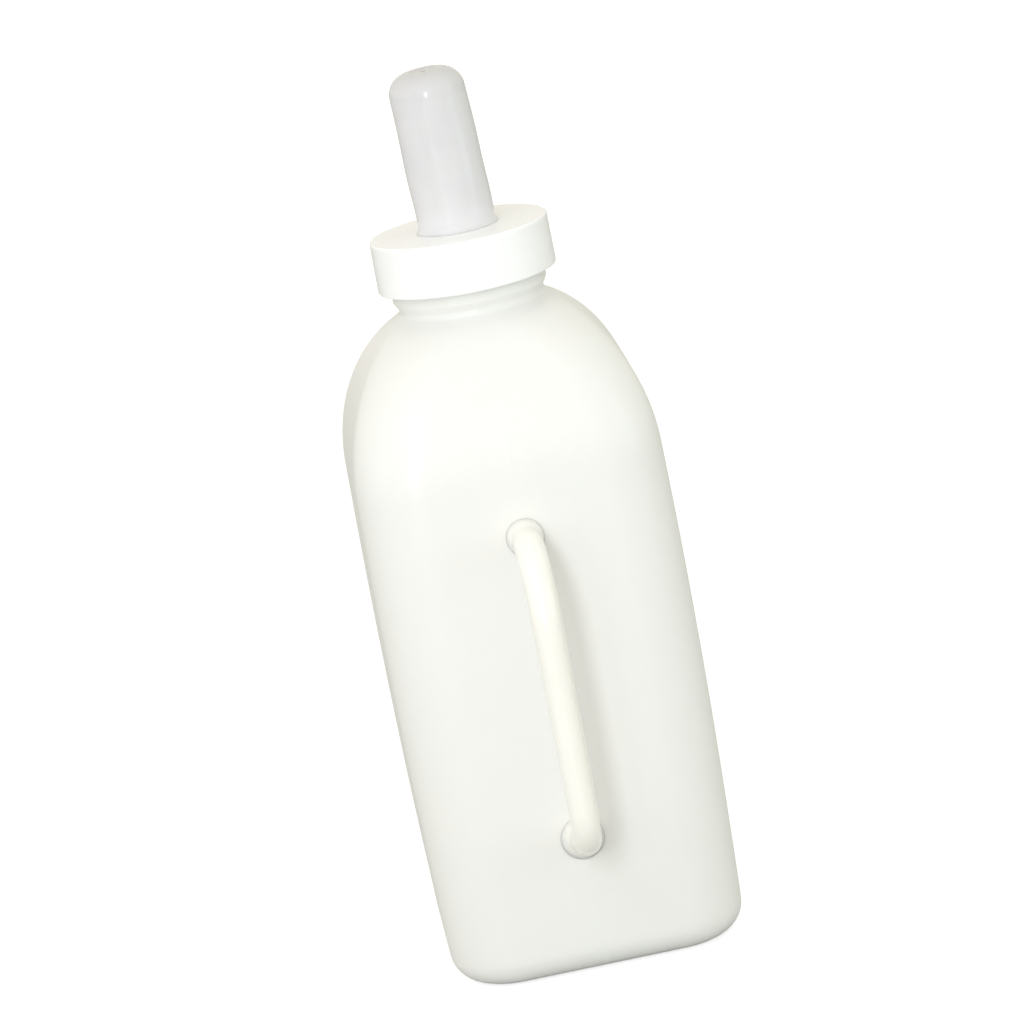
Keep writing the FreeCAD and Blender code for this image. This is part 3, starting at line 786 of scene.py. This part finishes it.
def moulded_skin_group():
    """Colour, roughness and height that drift over a moulded surface, from object coordinates.

    A slow noise mixes the two colours. A fine noise runs from low to high gloss and is the height.
    """
    group = bpy.data.node_groups.new("moulded_skin", "ShaderNodeTree")
    skin_sockets(group)
    entry = node(group, "NodeGroupInput")
    leave = node(group, "NodeGroupOutput")
    place = node(group, "ShaderNodeTexCoord")
    cloud = node(group, "ShaderNodeTexNoise", noise_dimensions="3D")
    cloud.inputs["Detail"].default_value = 3.0
    cloud.inputs["Roughness"].default_value = 0.55
    link(group, place.outputs["Object"], cloud.inputs["Vector"])
    link(group, entry.outputs["Drift Scale"], cloud.inputs["Scale"])
    spread = node(group, "ShaderNodeMapRange", interpolation_type="SMOOTHSTEP")
    spread.inputs["From Min"].default_value = 0.32
    spread.inputs["From Max"].default_value = 0.68
    link(group, cloud.outputs["Fac"], spread.inputs["Value"])
    tint = node(group, "ShaderNodeMix", data_type="RGBA")
    link(group, spread.outputs["Result"], tint.inputs["Factor"])
    link(group, entry.outputs["Base"], tint.inputs["A"])
    link(group, entry.outputs["Drift"], tint.inputs["B"])
    link(group, tint.outputs["Result"], leave.inputs["Color"])
    fine = node(group, "ShaderNodeTexNoise", noise_dimensions="3D")
    fine.inputs["Detail"].default_value = 4.0
    link(group, place.outputs["Object"], fine.inputs["Vector"])
    link(group, entry.outputs["Fine Scale"], fine.inputs["Scale"])
    gloss = node(group, "ShaderNodeMapRange")
    link(group, fine.outputs["Fac"], gloss.inputs["Value"])
    link(group, entry.outputs["Gloss Low"], gloss.inputs["To Min"])
    link(group, entry.outputs["Gloss High"], gloss.inputs["To Max"])
    link(group, gloss.outputs["Result"], leave.inputs["Roughness"])
    link(group, fine.outputs["Fac"], leave.inputs["Height"])
    return group


MOULDED_SKIN = moulded_skin_group()
print("nodes in the skin group:", len(MOULDED_SKIN.nodes))

# %% [markdown]
# Each finish is a Principled BSDF. What drifts over the skin comes from the group through links, and
# what is the same all over, such as the light that wanders under the surface, is set on the shader.
# The wandering light is nearly white, so that thick and thin places keep one colour.

# %% Finish maker
BUMP_DEPTH = 0.02 * MM
WANDER_COLOUR = (1.0, 0.97, 0.9)


def polymer(name, base, drift, drift_scale, fine_scale, gloss, bump, **shader):
    """A moulded plastic or rubber: the skin group feeds colour, roughness and a fine bump."""
    material = bpy.data.materials.new(name)
    material.use_nodes = True
    tree = material.node_tree
    surface = tree.nodes["Principled BSDF"]
    skin = node(tree, "ShaderNodeGroup", node_tree=MOULDED_SKIN)
    skin.inputs["Base"].default_value = (*base, 1)
    skin.inputs["Drift"].default_value = (*drift, 1)
    skin.inputs["Drift Scale"].default_value = drift_scale
    skin.inputs["Fine Scale"].default_value = fine_scale
    skin.inputs["Gloss Low"].default_value = gloss[0]
    skin.inputs["Gloss High"].default_value = gloss[1]
    link(tree, skin.outputs["Color"], surface.inputs["Base Color"])
    link(tree, skin.outputs["Roughness"], surface.inputs["Roughness"])
    relief = node(tree, "ShaderNodeBump")
    relief.inputs["Strength"].default_value = bump
    relief.inputs["Distance"].default_value = BUMP_DEPTH
    link(tree, skin.outputs["Height"], relief.inputs["Height"])
    link(tree, relief.outputs["Normal"], surface.inputs["Normal"])
    surface.inputs["Subsurface Radius"].default_value = WANDER_COLOUR
    for socket, setting in shader.items():
        surface.inputs[socket.replace("_", " ")].default_value = setting
    print(name, "has", len(tree.nodes), "nodes")
    return material


# %% [markdown]
# The bottle is natural polyethylene, milky and a little waxy. The handle's plastic is creamier and
# glossier. The ring is a bright white with hardly any light inside it.

# %% Plastics
BOTTLE_PLASTIC = polymer(
    "bottle_plastic",
    base=(0.885, 0.88, 0.862),
    drift=(0.87, 0.875, 0.857),
    drift_scale=9.0,
    fine_scale=700.0,
    gloss=(0.30, 0.42),
    bump=0.6,
    Subsurface_Weight=0.45,
    Subsurface_Scale=0.0022,
    IOR=1.5,
)
HANDLE_PLASTIC = polymer(
    "handle_plastic",
    base=(0.91, 0.90, 0.86),
    drift=(0.895, 0.885, 0.84),
    drift_scale=30.0,
    fine_scale=900.0,
    gloss=(0.20, 0.28),
    bump=0.6,
    Subsurface_Weight=0.7,
    Subsurface_Scale=0.004,
    IOR=1.5,
)
RING_PLASTIC = polymer(
    "ring_plastic",
    base=(0.98, 0.985, 1.0),
    drift=(0.965, 0.97, 0.99),
    drift_scale=40.0,
    fine_scale=1200.0,
    gloss=(0.16, 0.24),
    bump=0.4,
    Subsurface_Weight=0.1,
    Subsurface_Scale=0.002,
    IOR=1.49,
)

# %% [markdown]
# Silicone is milky and greyer than the plastics. A colour ramp over height paints the teat's light and
# shade:
# painted shade darkens the thick closed end, and painted light brightens the foot, where the white ring
# shines through. Real transparency would let the dark inside show, so the ramp multiplies the skin's
# colour instead.

# %% Silicone
TEAT_SILICONE = polymer(
    "teat_silicone",
    base=(0.755, 0.75, 0.77),
    drift=(0.73, 0.727, 0.75),
    drift_scale=60.0,
    fine_scale=1500.0,
    gloss=(0.15, 0.22),
    bump=0.5,
    Subsurface_Weight=0.5,
    Subsurface_Scale=0.0025,
    IOR=1.41,
)
# Each stop: the share of the teat's height above the ring, and the factor that multiplies the colour,
# painted light above 1 and painted shade below 1.
TEAT_PAINTED_LIGHT_AND_SHADE = [(0.0, 1.06), (0.16, 1.0), (0.82, 1.0), (0.94, 0.90), (1.0, 0.84)]


def paint_light_and_shade_along_teat():
    """Multiplies the silicone's colour by a ramp over height: painted shade at the end, light at the foot.
    """
    tree = TEAT_SILICONE.node_tree
    surface = tree.nodes["Principled BSDF"]
    skin_colour = surface.inputs["Base Color"].links[0].from_socket
    place = node(tree, "ShaderNodeTexCoord")
    split = node(tree, "ShaderNodeSeparateXYZ")
    along = node(tree, "ShaderNodeMapRange")
    along.inputs["From Min"].default_value = RING_HIGH.z
    along.inputs["From Max"].default_value = TEAT_HIGH.z
    ramp = node(tree, "ShaderNodeValToRGB")
    while len(ramp.color_ramp.elements) < len(TEAT_PAINTED_LIGHT_AND_SHADE):
        ramp.color_ramp.elements.new(0.5)
    for element, (position, shade) in zip(ramp.color_ramp.elements, TEAT_PAINTED_LIGHT_AND_SHADE):
        element.position = position
        element.color = (shade, shade, shade, 1)
    # This multiply mix paints the shade at the closed end and the light at the foot into the colour.
    tint = node(tree, "ShaderNodeMix", data_type="RGBA", blend_type="MULTIPLY")
    tint.inputs["Factor"].default_value = 1.0
    link(tree, place.outputs["Object"], split.inputs["Vector"])
    link(tree, split.outputs["Z"], along.inputs["Value"])
    link(tree, along.outputs["Result"], ramp.inputs["Fac"])
    link(tree, skin_colour, tint.inputs["A"])
    link(tree, ramp.outputs["Color"], tint.inputs["B"])
    link(tree, tint.outputs["Result"], surface.inputs["Base Color"])


paint_light_and_shade_along_teat()
print("the teat's ramp has", len(TEAT_PAINTED_LIGHT_AND_SHADE), "stops")

# %% [markdown]
# A piece can hold several finishes. These hold one each, so their material list is cleared first.

# %% Give each piece its finish
FINISHES = [(shell, BOTTLE_PLASTIC), (handle, HANDLE_PLASTIC), (ring, RING_PLASTIC), (teat, TEAT_SILICONE)]
for piece, material in FINISHES:
    piece.data.materials.clear()
    piece.data.materials.append(material)
    print(piece.name, "is made of", material.name)

# %% [markdown]
# ## Floor
# The floor is a plain pale sheet. A product stands best on a floor that burns out to white, but a floor
# so bright would light the bottle from below. So its glow is switched by Light Path: the camera sees
# it and the bottle doesn't.

# %% Floor
FLOOR_HALF = 14.0
FLOOR_GREY = (0.55, 0.55, 0.55, 1)
FLOOR_ROUGHNESS = 0.9
FLOOR_GLOW = 0.68


def floor_material():
    """A rough grey whose white glow is FLOOR_GLOW for the camera's own rays and 0 for all others."""
    material = bpy.data.materials.new("pale_floor")
    material.use_nodes = True
    tree = material.node_tree
    surface = tree.nodes["Principled BSDF"]
    surface.inputs["Base Color"].default_value = FLOOR_GREY
    surface.inputs["Roughness"].default_value = FLOOR_ROUGHNESS
    surface.inputs["Emission Color"].default_value = (1, 1, 1, 1)
    path = node(tree, "ShaderNodeLightPath")
    glow = node(tree, "ShaderNodeMath", operation="MULTIPLY")
    glow.inputs[1].default_value = FLOOR_GLOW
    link(tree, path.outputs["Is Camera Ray"], glow.inputs[0])
    link(tree, glow.outputs["Value"], surface.inputs["Emission Strength"])
    return material


def make_floor():
    """One square face on the ground."""
    mesh = bpy.data.meshes.new("studio_floor")
    corners = [(x * FLOOR_HALF, y * FLOOR_HALF, 0) for x, y in ((-1, -1), (1, -1), (1, 1), (-1, 1))]
    mesh.from_pydata(corners, [], [(0, 1, 2, 3)])
    floor = bpy.data.objects.new("studio_floor", mesh)
    bpy.context.scene.collection.objects.link(floor)
    mesh.materials.append(floor_material())
    return floor


floor = make_floor()
print("floor:", floor.name, 2 * FLOOR_HALF, "m wide")

# %% [markdown]
# ## Light
# Soft light comes from large lamps. The key stands above the camera, a little to the left, and gives
# the handle its shadow. A broad lamp above the front lights the dome, two weaker cool ones fill the
# sides, and a narrow strip low in front draws a faint streak on the teat. An even warm sky fills the
# rest, so no side is ever black.

# %% Light
KEY_WATTS = 2.85
HIGH_WATTS = 1.0
FILL_WATTS = 1.15
LEFT_WATTS = 0.6
STRIP_WATTS = 0.05
SKY = 0.885
SKY_COLOUR = (1.0, 0.973, 0.857, 1)


def soft_light(name, place, target, size, watts, colour):
    """A rectangular area light that faces a target."""
    data = bpy.data.lights.new(name, "AREA")
    data.shape = "RECTANGLE"
    data.size = size[0]
    data.size_y = size[1]
    data.energy = watts
    data.color = colour
    lamp = bpy.data.objects.new(name, data)
    bpy.context.scene.collection.objects.link(lamp)
    lamp.location = place
    lamp.rotation_euler = (Vector(target) - Vector(place)).to_track_quat("-Z", "Y").to_euler()
    print(f"{name}: {watts} W, {(Vector(target) - Vector(place)).length:.2f} m away")
    return lamp


# Each lamp: name, place, target, size, watts, colour.
LAMPS = [
    ("key", (-0.24, -1.0, 0.45), (0, 0, 0.17), (0.15, 0.36), KEY_WATTS, (0.92, 0.97, 1.0)),
    ("top_front", (-0.38, -0.60, 0.86), (0, 0, 0.22), (0.60, 0.45), HIGH_WATTS, (0.72, 0.72, 1.0)),
    ("right_fill", (1.0, -0.50, 0.40), (0, 0, 0.18), (0.4, 0.6), FILL_WATTS, (0.62, 0.86, 1.0)),
    ("low_strip", (-0.20, -0.47, 0.17), (0, 0, 0.30), (0.025, 0.13), STRIP_WATTS, (1.0, 1.0, 1.0)),
    ("left_fill", (-1.0, -0.40, 0.40), (0, 0, 0.18), (0.4, 0.6), LEFT_WATTS, (0.75, 0.88, 1.0)),
]
for lamp_values in LAMPS:
    soft_light(*lamp_values)

# %% [markdown]
# The sky is a plain background colour. The view transform is Standard, because a filmic curve would
# turn the whites of this white object grey.

# %% Sky
world = bpy.data.worlds.new("even_sky")
world.use_nodes = True
background = world.node_tree.nodes["Background"]
background.inputs["Color"].default_value = SKY_COLOUR
background.inputs["Strength"].default_value = SKY
bpy.context.scene.world = world
bpy.context.scene.view_settings.view_transform = "Standard"
print("sky strength", SKY)

# %% [markdown]
# ## Camera
# A long lens far away keeps the bottle's sides nearly parallel. The camera looks slightly down and is
# rolled, so that the bottle leans to the left. The lens looks past the bottle's middle by a small
# angle, which puts the middle a little below and to the right of the picture's centre.

# %% Camera
CAMERA_DISTANCE = 1.8
ELEVATION = math.radians(14.16)
AZIMUTH = math.radians(-2.9)
ROLL = math.radians(10.85)
LOOK_AT = Vector((0, 0, 0.150))
SENSOR = 36
# The lens's length and the two offsets, as shares of the picture's width.
FOCAL = 4.74902
BELOW = 0.03496
RIGHT_OF = 0.00713


def make_camera():
    """A camera at LOOK_AT + back * distance, aimed beside the middle and rolled round its own axis."""
    level = math.cos(ELEVATION)
    back = Vector((math.sin(AZIMUTH) * level, -math.cos(AZIMUTH) * level, math.sin(ELEVATION)))
    level_right = (-back).cross(Vector((0, 0, 1))).normalized()
    level_up = level_right.cross(-back)
    right = level_right * math.cos(ROLL) - level_up * math.sin(ROLL)
    up = level_up * math.cos(ROLL) + level_right * math.sin(ROLL)
    place = LOOK_AT + back * CAMERA_DISTANCE
    aim = LOOK_AT + (up * BELOW - right * RIGHT_OF) * (CAMERA_DISTANCE / FOCAL)
    look = (place - aim).normalized()
    right = (right - look * right.dot(look)).normalized()
    up = look.cross(right)
    data = bpy.data.cameras.new("studio_camera")
    data.sensor_width = SENSOR
    data.lens = FOCAL * SENSOR
    data.clip_end = 50
    camera = bpy.data.objects.new("studio_camera", data)
    bpy.context.scene.collection.objects.link(camera)
    camera.matrix_world = Matrix.Translation(place) @ Matrix((right, up, look)).transposed().to_4x4()
    bpy.context.scene.camera = camera
    return camera


camera = make_camera()
print("lens", round(camera.data.lens, 1), "mm")
